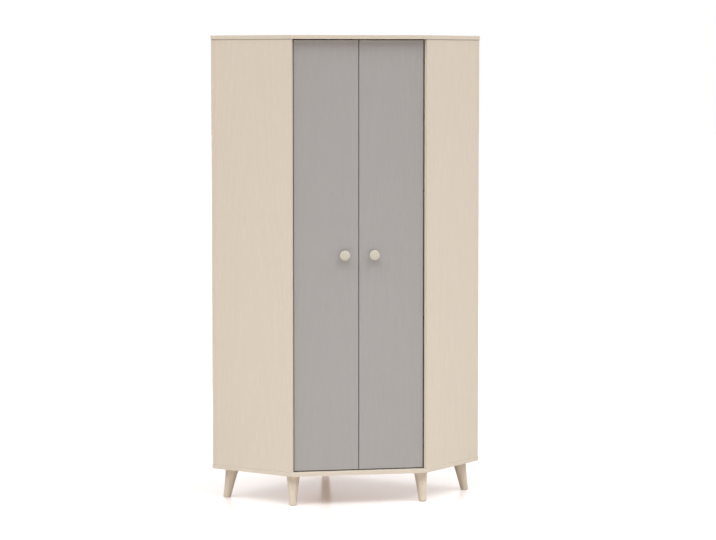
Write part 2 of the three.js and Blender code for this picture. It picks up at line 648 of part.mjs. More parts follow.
function buildWardrobe() {
  const body = new THREE.Group();
  body.add(node("top_panel", topPanel(), ashLaminate()));
  body.add(node("bottom_panel", bottomPanel(), ashLaminate()));
  for (const [word, side] of [["left", -1], ["right", 1]]) {
    body.add(node(word + "_end_panel", endPanel(side), ashLaminate()));
    body.add(node(word + "_back_panel", backPanel(side), ashLaminate()));
    const bracket = node(word + "_rail_bracket", railBracket(), chrome());
    bracket.position.set((side * RAIL_SPAN) / 2, RAIL_DEPTH, SHELF_Z - RAIL_DROP);
    bracket.rotation.z = side > 0 ? 0 : Math.PI;
    body.add(bracket);
    body.add(doorSide(word, side));
  }
  const stopPlaces = [["bottom", INNER_BOTTOM_Z], ["top", INNER_TOP_Z - STOP_HEIGHT]];
  for (const [word, z] of stopPlaces) {
    body.add(node(word + "_door_stop", doorStop().translate(0, 0, z), greyPlastic()));
  }
  body.add(node("hat_shelf", hatShelf(), ashLaminate()));
  body.add(node("hanging_rail", rail(), chrome()));
  for (const { name, top, heading } of LEG_PLACES) {
    const wood = node(name + "_leg", leg(), legWood());
    const bolt = node(name + "_leg_bolt", legBolt(), zincPlate());
    wood.rotation.z = heading;
    for (const piece of [wood, bolt]) {
      piece.position.set(top.x, top.y, 0);
      body.add(piece);
    }
  }
  // The origin lies on the floor, midway between the knobs' faces and the rear corner
  const rearmost = REAR_Y - EDGE_CHAMFER * SLANT;
  body.position.y = -(rearmost + DOOR_RECESS - KNOB_PROJECTION) / 2;
  const wardrobe = new THREE.Group();
  wardrobe.add(body);
  return wardrobe;
}

export default buildWardrobe();
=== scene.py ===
# %% [markdown]
# # A corner wardrobe, dressed in Blender
#
# The wardrobe stands in the corner of a room. Seen from above it is a square with one corner cut off, and
# two inset doors close that cut. The solids come ready made, in metres and in their places. This lesson
# gives each of them its finish, turns the round pieces again with finer curves, and adds the small fittings
# that hold such a wardrobe together.

# %% Load the solids
import json
import math

import bmesh
import bpy
from mathutils import Matrix, Vector

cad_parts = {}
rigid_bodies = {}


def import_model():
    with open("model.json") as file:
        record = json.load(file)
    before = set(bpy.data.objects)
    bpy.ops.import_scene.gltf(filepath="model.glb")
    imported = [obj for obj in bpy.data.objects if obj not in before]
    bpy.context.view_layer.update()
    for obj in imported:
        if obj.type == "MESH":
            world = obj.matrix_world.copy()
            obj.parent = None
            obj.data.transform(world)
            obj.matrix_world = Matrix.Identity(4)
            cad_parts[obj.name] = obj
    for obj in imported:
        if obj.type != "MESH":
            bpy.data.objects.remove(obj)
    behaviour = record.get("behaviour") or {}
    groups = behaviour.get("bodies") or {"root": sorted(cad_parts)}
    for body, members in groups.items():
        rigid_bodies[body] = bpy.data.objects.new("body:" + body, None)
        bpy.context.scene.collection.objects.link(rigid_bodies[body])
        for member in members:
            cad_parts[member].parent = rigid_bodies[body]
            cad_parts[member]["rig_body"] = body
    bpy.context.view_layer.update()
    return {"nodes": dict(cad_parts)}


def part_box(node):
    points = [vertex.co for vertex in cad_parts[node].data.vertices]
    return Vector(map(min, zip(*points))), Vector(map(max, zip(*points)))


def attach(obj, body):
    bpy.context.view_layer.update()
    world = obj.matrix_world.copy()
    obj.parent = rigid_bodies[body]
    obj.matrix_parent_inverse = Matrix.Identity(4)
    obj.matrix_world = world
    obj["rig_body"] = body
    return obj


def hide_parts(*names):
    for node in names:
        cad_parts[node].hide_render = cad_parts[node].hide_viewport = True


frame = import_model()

MM = 0.001

# %% [markdown]
# ## The camera
#
# A long lens from far off keeps the wardrobe's upright lines almost parallel. The camera stands a little to
# the left, just below the height of the top board, so that board shows as a thin line, and the floor under
# the bottom board can be seen. The lens could be shifted down instead, as a view camera's is. But other
# views keep a shift and would lose the wardrobe from the frame, so here the camera is tilted down a little.

# %% Camera
CAMERA_PLACE = Vector((-2.266, -12.083, 2.024))
CAMERA_YAW = math.radians(11.006)
CAMERA_PITCH = math.radians(4.573)
CAMERA_LENS = 131.1
CAMERA_SIGHT = 200.0  # metres, past the far edge of the floor
SENSOR_WIDTH = 36.0
LEVEL = math.pi / 2  # turns a camera or a lamp from looking down to looking level, along +Y


def put_in(name, data):
    """A new object in the scene, made of this camera, mesh or lamp."""
    made = bpy.data.objects.new(name, data)
    bpy.context.scene.collection.objects.link(made)
    return made


camera_data = bpy.data.cameras.new("camera")
camera_data.lens = CAMERA_LENS
camera_data.sensor_width = SENSOR_WIDTH
camera_data.clip_end = CAMERA_SIGHT
camera = put_in("camera", camera_data)
camera.location = CAMERA_PLACE
camera.rotation_euler = (LEVEL - CAMERA_PITCH, 0.0, -CAMERA_YAW)
bpy.context.scene.camera = camera
print("camera:", tuple(round(x, 3) for x in CAMERA_PLACE), "lens", CAMERA_LENS)

# %% [markdown]
# ## Writing materials as sums
#
# Every finish here is procedural: its nodes work out a colour, a gloss and a height for each point. Linking
# nodes by hand hides the idea behind the wiring. So one small class stands for the value that a socket
# gives, and adding or multiplying such values adds the Math nodes. Vectors go through Vector Math, and
# colours through Mix, because a Math node would turn a colour grey.


# %% Wires
class Wire:
    """What one output socket gives, for use in sums and products."""

    def __init__(self, nodes, socket):
        self.nodes = nodes
        self.socket = socket

    def math(self, operation, *terms):
        kinds = {term.socket.type for term in terms if isinstance(term, Wire)}
        kind = "ShaderNodeVectorMath" if "VECTOR" in kinds else "ShaderNodeMath"
        return self.nodes.node(kind, {"operation": operation}, dict(enumerate(terms)))

    def __add__(self, other):
        return self.math("ADD", self, other)

    def __radd__(self, other):
        return self.math("ADD", other, self)

    def __sub__(self, other):
        return self.math("SUBTRACT", self, other)

    def __rsub__(self, other):
        return self.math("SUBTRACT", other, self)

    def __mul__(self, other):
        return self.math("MULTIPLY", self, other)

    def __rmul__(self, other):
        return self.math("MULTIPLY", other, self)

    def __abs__(self):
        return self.math("ABSOLUTE", self)

    def beside(self, output):
        """What another output of the same node gives."""
        return Wire(self.nodes, self.socket.node.outputs[output])

    def dot(self, other):
        return self.nodes.node(
            "ShaderNodeVectorMath", {"operation": "DOT_PRODUCT"}, {0: self, 1: other}, "Value"
        )

    def clamped(self):
        return self.nodes.node("ShaderNodeClamp", {}, {"Value": self})

    def centred(self):
        """A noise runs from 0 to 1, and this swings about 0."""
        return self - 0.5

    def above(self, level, slope):
        """How far it stands above a level, times a slope, kept between 0 and 1."""
        return ((self - level) * slope).clamped()

    def within(self, reach):
        """For a distance: one where it is zero, fading to zero at its reach."""
        return (1.0 - self * (1.0 / reach)).clamped()


print("a wire knows:", [name for name in vars(Wire) if not name.startswith("_")])

# %% [markdown]
# ## Adding nodes
#
# Each kind of node could get a method of its own, but most kinds are used once or twice. So one method adds
# any node, from its kind, its settings and its inputs. Only what comes up again and again has a short name
# besides: mixing, noise, and putting a vector together or taking it apart.


# %% Nodes
class Nodes:
    """A node tree, and the one way to add a node to it."""

    def __init__(self, tree):
        self.tree = tree

    def node(self, kind, settings, inputs, output=0):
        made = self.tree.nodes.new(kind)
        stops = settings.get("stops", [])
        for name in settings.keys() - {"stops"}:
            setattr(made, name, settings[name])
        for i, (position, colour) in enumerate(stops):
            ramp = made.color_ramp.elements
            stop = ramp[i] if i < 2 else ramp.new(position)
            stop.position = position
            stop.color = (*colour, 1.0)
        for place, value in inputs.items():
            self.feed(made.inputs[place], value)
        return Wire(self, made.outputs[output])

    def feed(self, socket, value):
        if isinstance(value, Wire):
            self.tree.links.new(value.socket, socket)
        elif socket.type in ("VECTOR", "RGBA") and not hasattr(value, "__len__"):
            socket.default_value = (value,) * len(socket.default_value)
        elif socket.type == "RGBA" and len(value) == 3:
            socket.default_value = (*value, 1.0)
        else:
            socket.default_value = value

    def mix(self, share, first, second):
        inputs = {"Factor": share, "A": first, "B": second}
        return self.node("ShaderNodeMix", {}, inputs, "Result")

    def blend(self, share, first, second):
        """A mix of two colours, whose sockets on the Mix node are found by number."""
        inputs = {"Factor": share, 6: first, 7: second}
        return self.node("ShaderNodeMix", {"data_type": "RGBA"}, inputs, 2)

    def noise(self, vector, scale=1.0, detail=2.0, roughness=0.5):
        inputs = {"Vector": vector, "Scale": scale, "Detail": detail, "Roughness": roughness}
        return self.node("ShaderNodeTexNoise", {}, inputs)

    def point(self, x, y, z):
        return self.node("ShaderNodeCombineXYZ", {}, {"X": x, "Y": y, "Z": z})

    def split(self, vector):
        x = self.node("ShaderNodeSeparateXYZ", {}, {0: vector})
        return x, x.beside("Y"), x.beside("Z")


print("a node tree knows:", [name for name in vars(Nodes) if not name.startswith("_")])

# %% [markdown]
# ## A finish
#
# Each finish is a material with one Principled shader. Its colour mostly swings a little about one mean
# colour, darker in the pores and lighter between them. A ramp with that colour in its middle does it.


# %% Finishes
def shades(colour, *shares):
    return [tuple(min(1.0, channel * share) for channel in colour) for share in shares]


class Finish(Nodes):
    """A material with one Principled shader."""

    def __init__(self, name):
        self.material = bpy.data.materials.new(name)
        self.material.use_nodes = True
        super().__init__(self.material.node_tree)
        self.shader = self.tree.nodes["Principled BSDF"]

    def place(self, output="Object"):
        return self.node("ShaderNodeTexCoord", {}, {}, output)

    def wear(self, **sockets):
        for name, value in sockets.items():
            self.feed(self.shader.inputs[name.replace("_", " ")], value)

    def bump(self, height, distance, strength):
        inputs = {"Height": height, "Distance": distance, "Strength": strength}
        self.wear(Normal=self.node("ShaderNodeBump", {}, inputs))

    def ramp(self, tone, colour, darkest, lightest):
        """The colour where tone is a half, down to its darkest share at 0 and up to its lightest at 1."""
        dark, middle, light = shades(colour, darkest, 1.0, lightest)
        stops = [(0.0, dark), (1.0, light), (0.5, middle)]
        return self.node("ShaderNodeValToRGB", {"stops": stops}, {"Fac": tone})


def paint(piece, finish):
    piece.data.materials.clear()
    piece.data.materials.append(finish.material)


print("a half shade of white:", shades((1.0, 1.0, 1.0), 0.5)[0])

# %% [markdown]
# ## Grain on a board
#
# The boards are chipboard under a printed laminate, and the print runs along each board. A picture of wood
# could be laid on each face by hand. Here two numbers do it for every face at once: how far a point lies
# along the grain and how far across it. They follow from the face's normal. On an upright board the grain
# climbs, and the other direction is square to both the climb and the normal.

# %% Along and across
BOARD = 18 * MM
UP = (0.0, 0.0, 1.0)
LEVEL_FACE = 0.5  # a face is level if the upward part of its normal is larger


def grain_places(finish, board, upright):
    """Where a point lies along and across the grain, from the board's middle."""
    low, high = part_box(board)
    place = finish.place() - tuple((low + high) / 2)
    normal = finish.place("Normal")
    sideways = normal.math("CROSS_PRODUCT", normal, UP).dot(place)
    levelness = abs(normal.dot(UP))
    level = levelness.math("GREATER_THAN", levelness, LEVEL_FACE)
    x, y, z = finish.split(place)
    if upright:
        return finish.mix(level, z, x), finish.mix(level, sideways, y)
    return finish.mix(level, sideways, x), finish.mix(level, z, y)


def face_half_width(board, slanted):
    """Half the width of a board's face, which a slanted board's box shows at 45 degrees."""
    low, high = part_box(board)
    width = high.x - low.x
    return (width * math.sqrt(2) - BOARD) / 2 if slanted else width / 2


print("half width of a door:", round(face_half_width("left_door", False), 3))

# %% [markdown]
# ## The figure of ash
#
# The carcass is a pale ash and the doors have the same figure in grey. Ash has three things to copy: long
# soft streaks with short fibres in them, nested arches where the log was cut flat, and fine dark pores. A
# wave texture could draw the arches, but its bands never close. Here they are the level lines of a shallow
# bowl that is stretched along the grain and bent by a slow noise, so they close at their tips.

# %% Ash figure
WANDER_CELLS = (4.0, 0.9)  # noise cells per metre across and along the grain, here and below
STREAK_CELLS = (95.0, 1.3)
FIBRE_CELLS = (230.0, 15.0)
PORE_CELLS = (1500.0, 45.0)
PORE_LEVEL = 0.58  # of the noise, where a pore begins
PORE_SLOPE = 7.0
ARCH_TIGHTNESS = 120.0  # arches per square metre away from the board's middle
ARCH_RISE = 2.1  # arches per metre along the grain
ARCH_WANDER = 3.0  # arches that the wandering adds or takes away
STREAK_TONE = 0.4  # how much each part of the figure adds to the tone or takes from it
ARCH_TONE = 0.05
WANDER_TONE = 0.06
PORE_TONE = 0.3
ARCH_FIBRES = 0.6  # how much stronger the fibres are on an arch


def ash_figure(finish, along, across, seed):
    """The tone of ash, about a half, and the streaks and pores in it."""

    def figure(cells, **settings):
        return finish.noise(finish.point(across * cells[0], along * cells[1], seed), **settings)

    wander = figure(WANDER_CELLS, detail=1.0).centred()
    streaks = figure(STREAK_CELLS, detail=4.0, roughness=0.62)
    fibres = figure(FIBRE_CELLS, detail=2.0, roughness=0.6)
    pores = figure(PORE_CELLS, detail=2.0).above(PORE_LEVEL, PORE_SLOPE)
    bowl = across * across * ARCH_TIGHTNESS + along * ARCH_RISE + wander * ARCH_WANDER
    arches = bowl.math("SINE", bowl * (2 * math.pi))
    tone = 0.5 + streaks.centred() * STREAK_TONE + fibres.centred() * (arches * ARCH_FIBRES + 1.0)
    tone = tone + arches * ARCH_TONE + wander * WANDER_TONE - pores * PORE_TONE
    return tone, streaks, pores


half_width = face_half_width("left_door", False)
print("arches from a door's middle to its edge:", round(ARCH_TIGHTNESS * half_width**2, 1))

# %% [markdown]
# ## Lines on a board
#
# A band is glued over each board's edge, and a thin glue line shows where it meets the face. An upright
# panel also has a dark line at the board above it and at the board below it. Each line is partly a dark
# joint and partly painted shade. The one under the top board is deeper, because it also holds the painted
# shadow of that board, which stands proud of the panel. They could be cut as grooves, but they are no more
# than a tone.
# So both are mixed into the colour, by a point's distance from the edge or the end.

# %% Lines on a board
EDGE_BAND = 1.2 * MM  # thickness of the band
GLUE_LINE = 0.2 * MM
GLUE_SHADE = 0.6  # of the board's colour
GLUE_STRENGTH = 0.35
# Painted shade: the top line is a dark joint plus the painted shadow of the top board's overhang, and the
# bottom line is a dark joint plus a little painted shade.
TOP_JOINT_AND_SHADOW_LINE = 4.2 * MM  # how far the shade of the joint at the top board reaches down a panel
BOTTOM_JOINT_AND_SHADE_LINE = 1.6 * MM  # the same, up from the bottom board
JOINT_AND_SHADOW_SHARE = 0.35  # of the board's colour


def lined(finish, shade, colour, board, along, across, slanted):
    """A board's tone with its glue lines and, on a slanted panel, its end lines, which are dark joints with
    painted shade in them.
    """
    if slanted:
        low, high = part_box(board)
        end = (high.z - low.z) / 2
        # painted shade, mixed with the dark joints at both ends of a slanted panel
        joint_and_painted_shade = (end - along).within(TOP_JOINT_AND_SHADOW_LINE) + (end + along).within(BOTTOM_JOINT_AND_SHADE_LINE)
        shade = finish.blend(joint_and_painted_shade, shade, shades(colour, JOINT_AND_SHADOW_SHARE)[0])
    glue_at = face_half_width(board, slanted) - EDGE_BAND
    glue = abs(abs(across) - glue_at).within(GLUE_LINE)
    return finish.blend(glue * GLUE_STRENGTH, shade, shades(colour, GLUE_SHADE)[0])


print("a glue line is", round(EDGE_BAND / MM, 1), "mm from the edge")

# %% [markdown]
# ## Laminate
#
# The laminate is printed paper under a hard skin of resin, and the plate that pressed it left the pores as
# fine dents. The skin could be a clear coat over a matt layer. But it is matt itself, so a middle roughness,
# a weak specular level and a shallow bump look the same and are simpler.

# %% Laminate
ASH = (0.74, 0.67, 0.564)
GREY = (0.41, 0.40, 0.396)
LAMINATE_TONES = (0.93, 1.05)  # shares of its colour, the darkest and the lightest
LAMINATE_ROUGHNESS = 0.5
STREAK_ROUGHNESS = 0.14
PORE_ROUGHNESS = 0.12
LAMINATE_SPECULAR = 0.38
PORE_DEPTH = 0.05 * MM
STREAK_HEIGHT = 0.5  # of a pore's depth
LAMINATE_BUMP = 0.35


def laminate(name, board, colour, seed, upright=True, slanted=False):
    finish = Finish(name)
    along, across = grain_places(finish, board, upright)
    tone, streaks, pores = ash_figure(finish, along, across, seed)
    shade = finish.ramp(tone, colour, *LAMINATE_TONES)
    finish.wear(Base_Color=lined(finish, shade, colour, board, along, across, slanted))
    rough = LAMINATE_ROUGHNESS + streaks.centred() * STREAK_ROUGHNESS + pores * PORE_ROUGHNESS
    finish.wear(Roughness=rough, Specular_IOR_Level=LAMINATE_SPECULAR)
    finish.bump(1.0 - pores + streaks * STREAK_HEIGHT, PORE_DEPTH, LAMINATE_BUMP)
    return finish


print("laminates: ash", ASH, "and grey", GREY)

# %% [markdown]
# ## Boards and doors
#
# No two boards are cut from the same place of the print. One material on all of them would draw the same
# arches on each. So each board has a material of its own, and a seed that moves it to another place in the
# noise.

# %% Boards and doors
ASH_SEED_STEP = 3.7
GREY_SEED = 31.0
GREY_SEED_STEP = 5.3
upright_boards = [side + panel for panel in ("_end_panel", "_back_panel") for side in ("left", "right")]
level_boards = ["top_panel", "bottom_panel", "hat_shelf"]
for i, board in enumerate(upright_boards + level_boards):
    stands = board in upright_boards
    ash = laminate("ash_" + board, board, ASH, ASH_SEED_STEP * i, stands, stands)
    paint(frame["nodes"][board], ash)
for i, board in enumerate(["left_door", "right_door"]):
    grey = laminate("grey_" + board, board, GREY, GREY_SEED + GREY_SEED_STEP * i)
    paint(frame["nodes"][board], grey)
print("laminated boards:", len(upright_boards + level_boards) + 2)

# %% [markdown]
# ## Pieces made of rings
#
# Legs, knobs, screws and the rail are all round. A modifier could spin a profile, but a screw head ends in
# a cross, and a leg's level rings slide sideways as it leans. A stack of rings with faces between
# neighbours covers them all: a ring can be a circle, a cross or a hexagon, wherever it lies.

# %% Rings
SHARP_ANGLE = math.radians(32)  # between two faces, above which their edge stays sharp
FRONTWARDS = Matrix.Rotation(math.pi / 2, 4, "X")  # turns +Z to the front, -Y


def smooth(mesh):
    mesh.shade_smooth()
    mesh.set_sharp_from_angle(angle=SHARP_ANGLE)


def ring_mesh(name, rings, closed=False):
    """A mesh through rings of equally many points, capped at both ends, or closed on itself."""
    mesh = bpy.data.meshes.new(name)
    shape = bmesh.new()
    made = [[shape.verts.new(point) for point in ring] for ring in rings]
    count = len(made[0])
    pairs = list(zip(made, made[1:])) + ([(made[-1], made[0])] if closed else [])
    for low, high in pairs:
        for i in range(count):
            j = (i + 1) % count
            shape.faces.new((low[i], low[j], high[j], high[i]))
    if not closed:
        shape.faces.new(list(reversed(made[0])))
        shape.faces.new(made[-1])
    bmesh.ops.recalc_face_normals(shape, faces=shape.faces)
    shape.to_mesh(mesh)
    shape.free()
    smooth(mesh)
    return mesh


def stack(name, rings, closed=False):
    return put_in(name, ring_mesh(name, rings, closed))


def circle(radius, z, sides, centre=(0.0, 0.0), stretch=(1.0, 1.0), turn=0.0):
    ring = []
    for i in range(sides):
        angle = 2 * math.pi * i / sides
        x, y = radius * stretch[0] * math.cos(angle), radius * stretch[1] * math.sin(angle)
        spun = (x * math.cos(turn) - y * math.sin(turn), x * math.sin(turn) + y * math.cos(turn))
        ring.append((centre[0] + spun[0], centre[1] + spun[1], z))
    return ring


def curve(points, steps):
    """Points along a Bezier curve with one or two handles."""
    points = [Vector(point) for point in points]
    found = []
    for i in range(steps + 1):
        level = list(points)
        while len(level) > 1:
            level = [a.lerp(b, i / steps) for a, b in zip(level, level[1:])]
        found.append(tuple(level[0]))
    return found


print("a square ring:", [tuple(round(x, 1) for x in point) for point in circle(1.0, 0.0, 4)])

# %% [markdown]
# ## Leg wood
#
# The legs are solid wood under a satin lacquer, a little darker and warmer than the laminate. The laminate's
# figure could be used again, but it is a flat print and would smear on a round leg. So this wood is a solid
# block of noise, drawn out down the leg as the grain is, and each leg is turned out of it. Its rings of
# growth show as soft arches.

# %% Leg wood
LEG_WOOD = (0.735, 0.655, 0.54)
LEG_TONES = (0.82, 1.08)  # shares of its colour, the darkest and the lightest
LEG_STREAK_CELLS = (160.0, 6.0)  # per metre, across the leg and down it
LEG_STREAK_TONE = 0.9
LEG_RING_CELLS = (38.0, 2.2)
LEG_RING_WAVES = 60.0  # radians from the lowest to the highest value of the noise
LEG_RING_TONE = 0.1
LEG_PORE_CELLS = (1300.0, 60.0)
LEG_PORE_LEVEL = 0.6
LEG_PORE_SLOPE = 6.0
LEG_PORE_TONE = 0.2
LEG_PORE_DEPTH = 0.06 * MM
LEG_ROUGHNESS = 0.42
LEG_PORE_ROUGHNESS = 0.2
LEG_STREAK_ROUGHNESS = 0.12
LEG_STREAK_HEIGHT = 0.4  # of a pore's depth
LEG_BUMP = 0.3


def leg_wood():
    finish = Finish("turned_leg_wood")
    x, y, z = finish.split(finish.place())

    def figure(cells, **settings):
        return finish.noise(finish.point(x * cells[0], y * cells[0], z * cells[1]), **settings)

    streaks = figure(LEG_STREAK_CELLS, detail=4.0, roughness=0.6)
    rings = figure(LEG_RING_CELLS, detail=1.0)
    arches = rings.math("SINE", rings * LEG_RING_WAVES)
    pores = figure(LEG_PORE_CELLS).above(LEG_PORE_LEVEL, LEG_PORE_SLOPE)
    tone = 0.5 + streaks.centred() * LEG_STREAK_TONE + arches * LEG_RING_TONE - pores * LEG_PORE_TONE
    rough = LEG_ROUGHNESS + pores * LEG_PORE_ROUGHNESS + streaks.centred() * LEG_STREAK_ROUGHNESS
    finish.wear(Base_Color=finish.ramp(tone, LEG_WOOD, *LEG_TONES), Roughness=rough)
    finish.bump(1.0 - pores + streaks * LEG_STREAK_HEIGHT, LEG_PORE_DEPTH, LEG_BUMP)
    return finish


leg_finish = leg_wood()
print("leg wood nodes:", len(leg_finish.tree.nodes))

# %% [markdown]
# ## Legs
#
# Each leg is turned, thick at the top and drawn in below, and it leans out towards its corner. It could be
# turned upright and then tilted, but its ends must be level. So its rings are level, and each is shifted
# along the lean and drawn out a little in that direction, as a slanting cut through a round leg is. The
# sawn foot has a softened rim. It stands on a thin plastic glide, which spares the floor when the wardrobe
# is pushed into its corner.

# %% Legs
LEG_HEIGHT = 137 * MM
LEG_RADII = (31 * MM, 23 * MM, 17.5 * MM)  # top, waist, foot
LEG_SIDES = 64
LEG_STEPS = 24
FOOT_ROUND = 1.6 * MM
FOOT_STEPS = 4
LEG_NAMES = ["left_front", "left_side", "right_front", "right_side", "rear"]
GLIDE = 2.5 * MM  # its thickness
GLIDE_INSET = 2.5 * MM  # of its rim from the foot's
GLIDE_CHAMFER = 0.6 * MM
GLIDE_BURIED = 0.5 * MM  # how far it is let into the foot
GLIDE_PLASTIC = (0.7, 0.67, 0.62)
GLIDE_ROUGHNESS = 0.4
GLIDE_SPECKLES = 900.0  # per metre
SPECKLE_ROUGHNESS = 0.2


def leg_rings(top, foot):
    """Level rings from the glide to the board, on the line from the foot's centre to the top's."""
    lean = top - foot
    heading = math.atan2(lean.y, lean.x)
    longer = math.hypot(LEG_HEIGHT, lean.length) / LEG_HEIGHT
    top_radius, waist, foot_radius = LEG_RADII
    handle = 2 * waist - (top_radius + foot_radius) / 2
    profile = curve([(foot_radius, 0), (handle, LEG_HEIGHT / 2), (top_radius, LEG_HEIGHT)], LEG_STEPS)
    rim = GLIDE + FOOT_ROUND
    corner = [(foot_radius - FOOT_ROUND, GLIDE), (foot_radius, GLIDE), (foot_radius, rim)]
    rings = []
    for radius, height in curve(corner, FOOT_STEPS) + [step for step in profile if step[1] > rim]:
        centre = foot.lerp(top, height / LEG_HEIGHT)
        rings.append(circle(radius, height, LEG_SIDES, centre, (longer, 1.0), heading))
    return rings


glide_finish = Finish("pale_glide")
glide_speckle = glide_finish.noise(glide_finish.place(), GLIDE_SPECKLES)
glide_finish.wear(Base_Color=GLIDE_PLASTIC, Roughness=GLIDE_ROUGHNESS + glide_speckle * SPECKLE_ROUGHNESS)
glide_rim = LEG_RADII[-1] - GLIDE_INSET
glide_steps = [(glide_rim - GLIDE_CHAMFER, 0.0), (glide_rim, GLIDE_CHAMFER)]
glide_steps += [(glide_rim, GLIDE + GLIDE_BURIED)]
for name in LEG_NAMES:
    bolt_low, bolt_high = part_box(name + "_leg_bolt")
    top = ((bolt_low + bolt_high) / 2).xy
    sole = [v.co.xy for v in frame["nodes"][name + "_leg"].data.vertices if v.co.z < MM]
    foot = sum(sole, Vector((0.0, 0.0))) / len(sole)
    leg = stack(name + "_turned_leg", leg_rings(top, foot))
    paint(leg, leg_finish)
    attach(leg, "carcass")
    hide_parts(name + "_leg")
    glide = stack(name + "_glide", [circle(radius, z, LEG_SIDES, foot) for radius, z in glide_steps])
    paint(glide, glide_finish)
    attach(glide, "carcass")
print("legs:", len(LEG_NAMES), "lean of the last", round((top - foot).length / MM), "mm")

# %% [markdown]
# ## Knob wood
#
# The knobs are a fine, even wood with a satin gloss. It is a shade darker and less warm than the carcass,
# and still reads as a pale dot on a grey door. It could share the legs' wood, but those pores are too coarse
# for so small a piece. Here faint streaks alone make the grain.

# %% Knob wood
KNOB_WOOD = (0.63, 0.605, 0.51)
KNOB_TONES = (0.9, 1.05)  # shares of its colour, the darkest and the lightest
KNOB_STREAK_CELLS = (240.0, 30.0, 22.0)  # per metre, along each axis of the knob
KNOB_STREAK_TONE = 0.9
KNOB_ROUGHNESS = 0.36
KNOB_STREAK_ROUGHNESS = 0.14
KNOB_STREAK_DEPTH = 0.04 * MM
KNOB_BUMP = 0.3


def stretched_noise(finish, place, cells, **settings):
    """A noise with its own number of cells per metre along each axis."""
    axes = zip(finish.split(place), cells)
    return finish.noise(finish.point(*(axis * count for axis, count in axes)), **settings)


knob_finish = Finish("pale_knob_wood")
knob_streaks = stretched_noise(knob_finish, knob_finish.place(), KNOB_STREAK_CELLS, detail=3.0)
knob_tone = 0.5 + knob_streaks.centred() * KNOB_STREAK_TONE
knob_finish.wear(Base_Color=knob_finish.ramp(knob_tone, KNOB_WOOD, *KNOB_TONES))
knob_finish.wear(Roughness=KNOB_ROUGHNESS + knob_streaks * KNOB_STREAK_ROUGHNESS)
knob_finish.bump(knob_streaks, KNOB_STREAK_DEPTH, KNOB_BUMP)
print("knob wood nodes:", len(knob_finish.tree.nodes))

# %% [markdown]
# ## Knobs
#
# A knob is a small turned button on a short neck. Its face is gently domed and its rim is round, and both
# catch the light from above. A flattened sphere would come close, but a profile of three curves keeps the
# neck and the soft rim.

# %% Knobs
KNOB_RADIUS = 23 * MM
KNOB_NECK = 8 * MM
KNOB_FOOT = 10 * MM
KNOB_FOOT_HEIGHT = 2 * MM
KNOB_FOOT_CHAMFER = 0.5 * MM
KNOB_DEPTH = 30 * MM
KNOB_FACE = 3 * MM
KNOB_RIM = 9 * MM
KNOB_ROUND = 4 * MM
KNOB_TIP = 0.4 * MM  # radius of the last ring, which a flat cap closes
KNOB_SIDES = 72
NECK_STEPS = 12
SHOULDER_STEPS = 6
FACE_STEPS = 16


def knob_profile():
    rim_top = KNOB_DEPTH - KNOB_FACE
    rim_low = rim_top - KNOB_RIM
    foot = [(KNOB_FOOT - KNOB_FOOT_CHAMFER, 0.0), (KNOB_FOOT, KNOB_FOOT_CHAMFER)]
    handle = (2 * KNOB_NECK - KNOB_FOOT, rim_low / 2)
    neck_end = (KNOB_RADIUS - KNOB_ROUND, rim_low)
    neck = curve([(KNOB_FOOT, KNOB_FOOT_HEIGHT), handle, neck_end], NECK_STEPS)
    shoulder_end = (KNOB_RADIUS, rim_low + KNOB_ROUND)
    shoulder = curve([neck[-1], (KNOB_RADIUS, rim_low), shoulder_end], SHOULDER_STEPS)
    face_start = (KNOB_RADIUS, rim_top - KNOB_ROUND / 2)
    handles = [(KNOB_RADIUS, rim_top + KNOB_FACE / 2), (KNOB_RADIUS / 2, KNOB_DEPTH)]
    face = curve([face_start, *handles, (KNOB_TIP, KNOB_DEPTH)], FACE_STEPS)
    return foot + neck + shoulder[1:] + face


for word in ["left", "right"]:
    low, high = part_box(word + "_knob")
    knob = stack(word + "_turned_knob", [circle(radius, z, KNOB_SIDES) for radius, z in knob_profile()])
    knob.data.transform(FRONTWARDS)
    knob.location = ((low.x + high.x) / 2, high.y, (low.z + high.z) / 2)
    paint(knob, knob_finish)
    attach(knob, word + "_door")
    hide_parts(word + "_knob")
print("knob profile steps:", len(knob_profile()))

# %% [markdown]
# ## Metals
#
# Three platings do the hidden work: nickel on the hinges, zinc on screws and links, chrome on the rail. All
# of them are plain metal to the shader. What tells them apart is the colour, and how even the gloss is:
# rolled and plated steel is cloudy, and a rail that hangers slide on has fine scratches along it.

# %% Platings
PLATING_TONES = (0.9, 1.06)  # shares of its colour, the darkest and the lightest
CLOUDS = 70.0  # per metre
SCRATCH_CELLS = (25.0, 2600.0, 2600.0)  # per metre, so that scratches run along x
SCRATCH_DEPTH = 0.01 * MM
SCRATCH_BUMP = 0.25


def plating(name, colour, roughness, cloudiness, scratches=0.0):
    finish = Finish(name)
    place = finish.place()
    clouds = finish.noise(place, CLOUDS, detail=3.0)
    lines = stretched_noise(finish, place, SCRATCH_CELLS)
    finish.wear(Base_Color=finish.blend(clouds, *shades(colour, *PLATING_TONES)), Metallic=1.0)
    finish.wear(Roughness=roughness + clouds.centred() * cloudiness + lines.centred() * scratches)
    finish.bump(lines, SCRATCH_DEPTH, SCRATCH_BUMP)
    return finish


nickel = plating("nickel_plate", (0.66, 0.64, 0.6), roughness=0.27, cloudiness=0.16)
zinc = plating("zinc_plate", (0.56, 0.57, 0.59), roughness=0.38, cloudiness=0.22)
chrome = plating("chrome_plate", (0.78, 0.79, 0.8), roughness=0.09, cloudiness=0.05, scratches=0.1)
print("platings:", nickel.material.name, zinc.material.name, chrome.material.name)

# %% [markdown]
# ## Grey plastic
#
# The two door stops are moulded blocks. Their mould was etched, which leaves a fine matt pebble on the
# skin. A rough, even grey would do from afar. Up close, a noise in the colour and the height is the pebble.

# %% Plastic
PLASTIC_SHADES = [(0.1, 0.096, 0.09), (0.13, 0.125, 0.118)]
PLASTIC_ROUGHNESS = 0.5
PEBBLES = 1800.0  # per metre
PEBBLE_ROUGHNESS = 0.2
PEBBLE_DEPTH = 0.03 * MM
PEBBLE_BUMP = 0.4

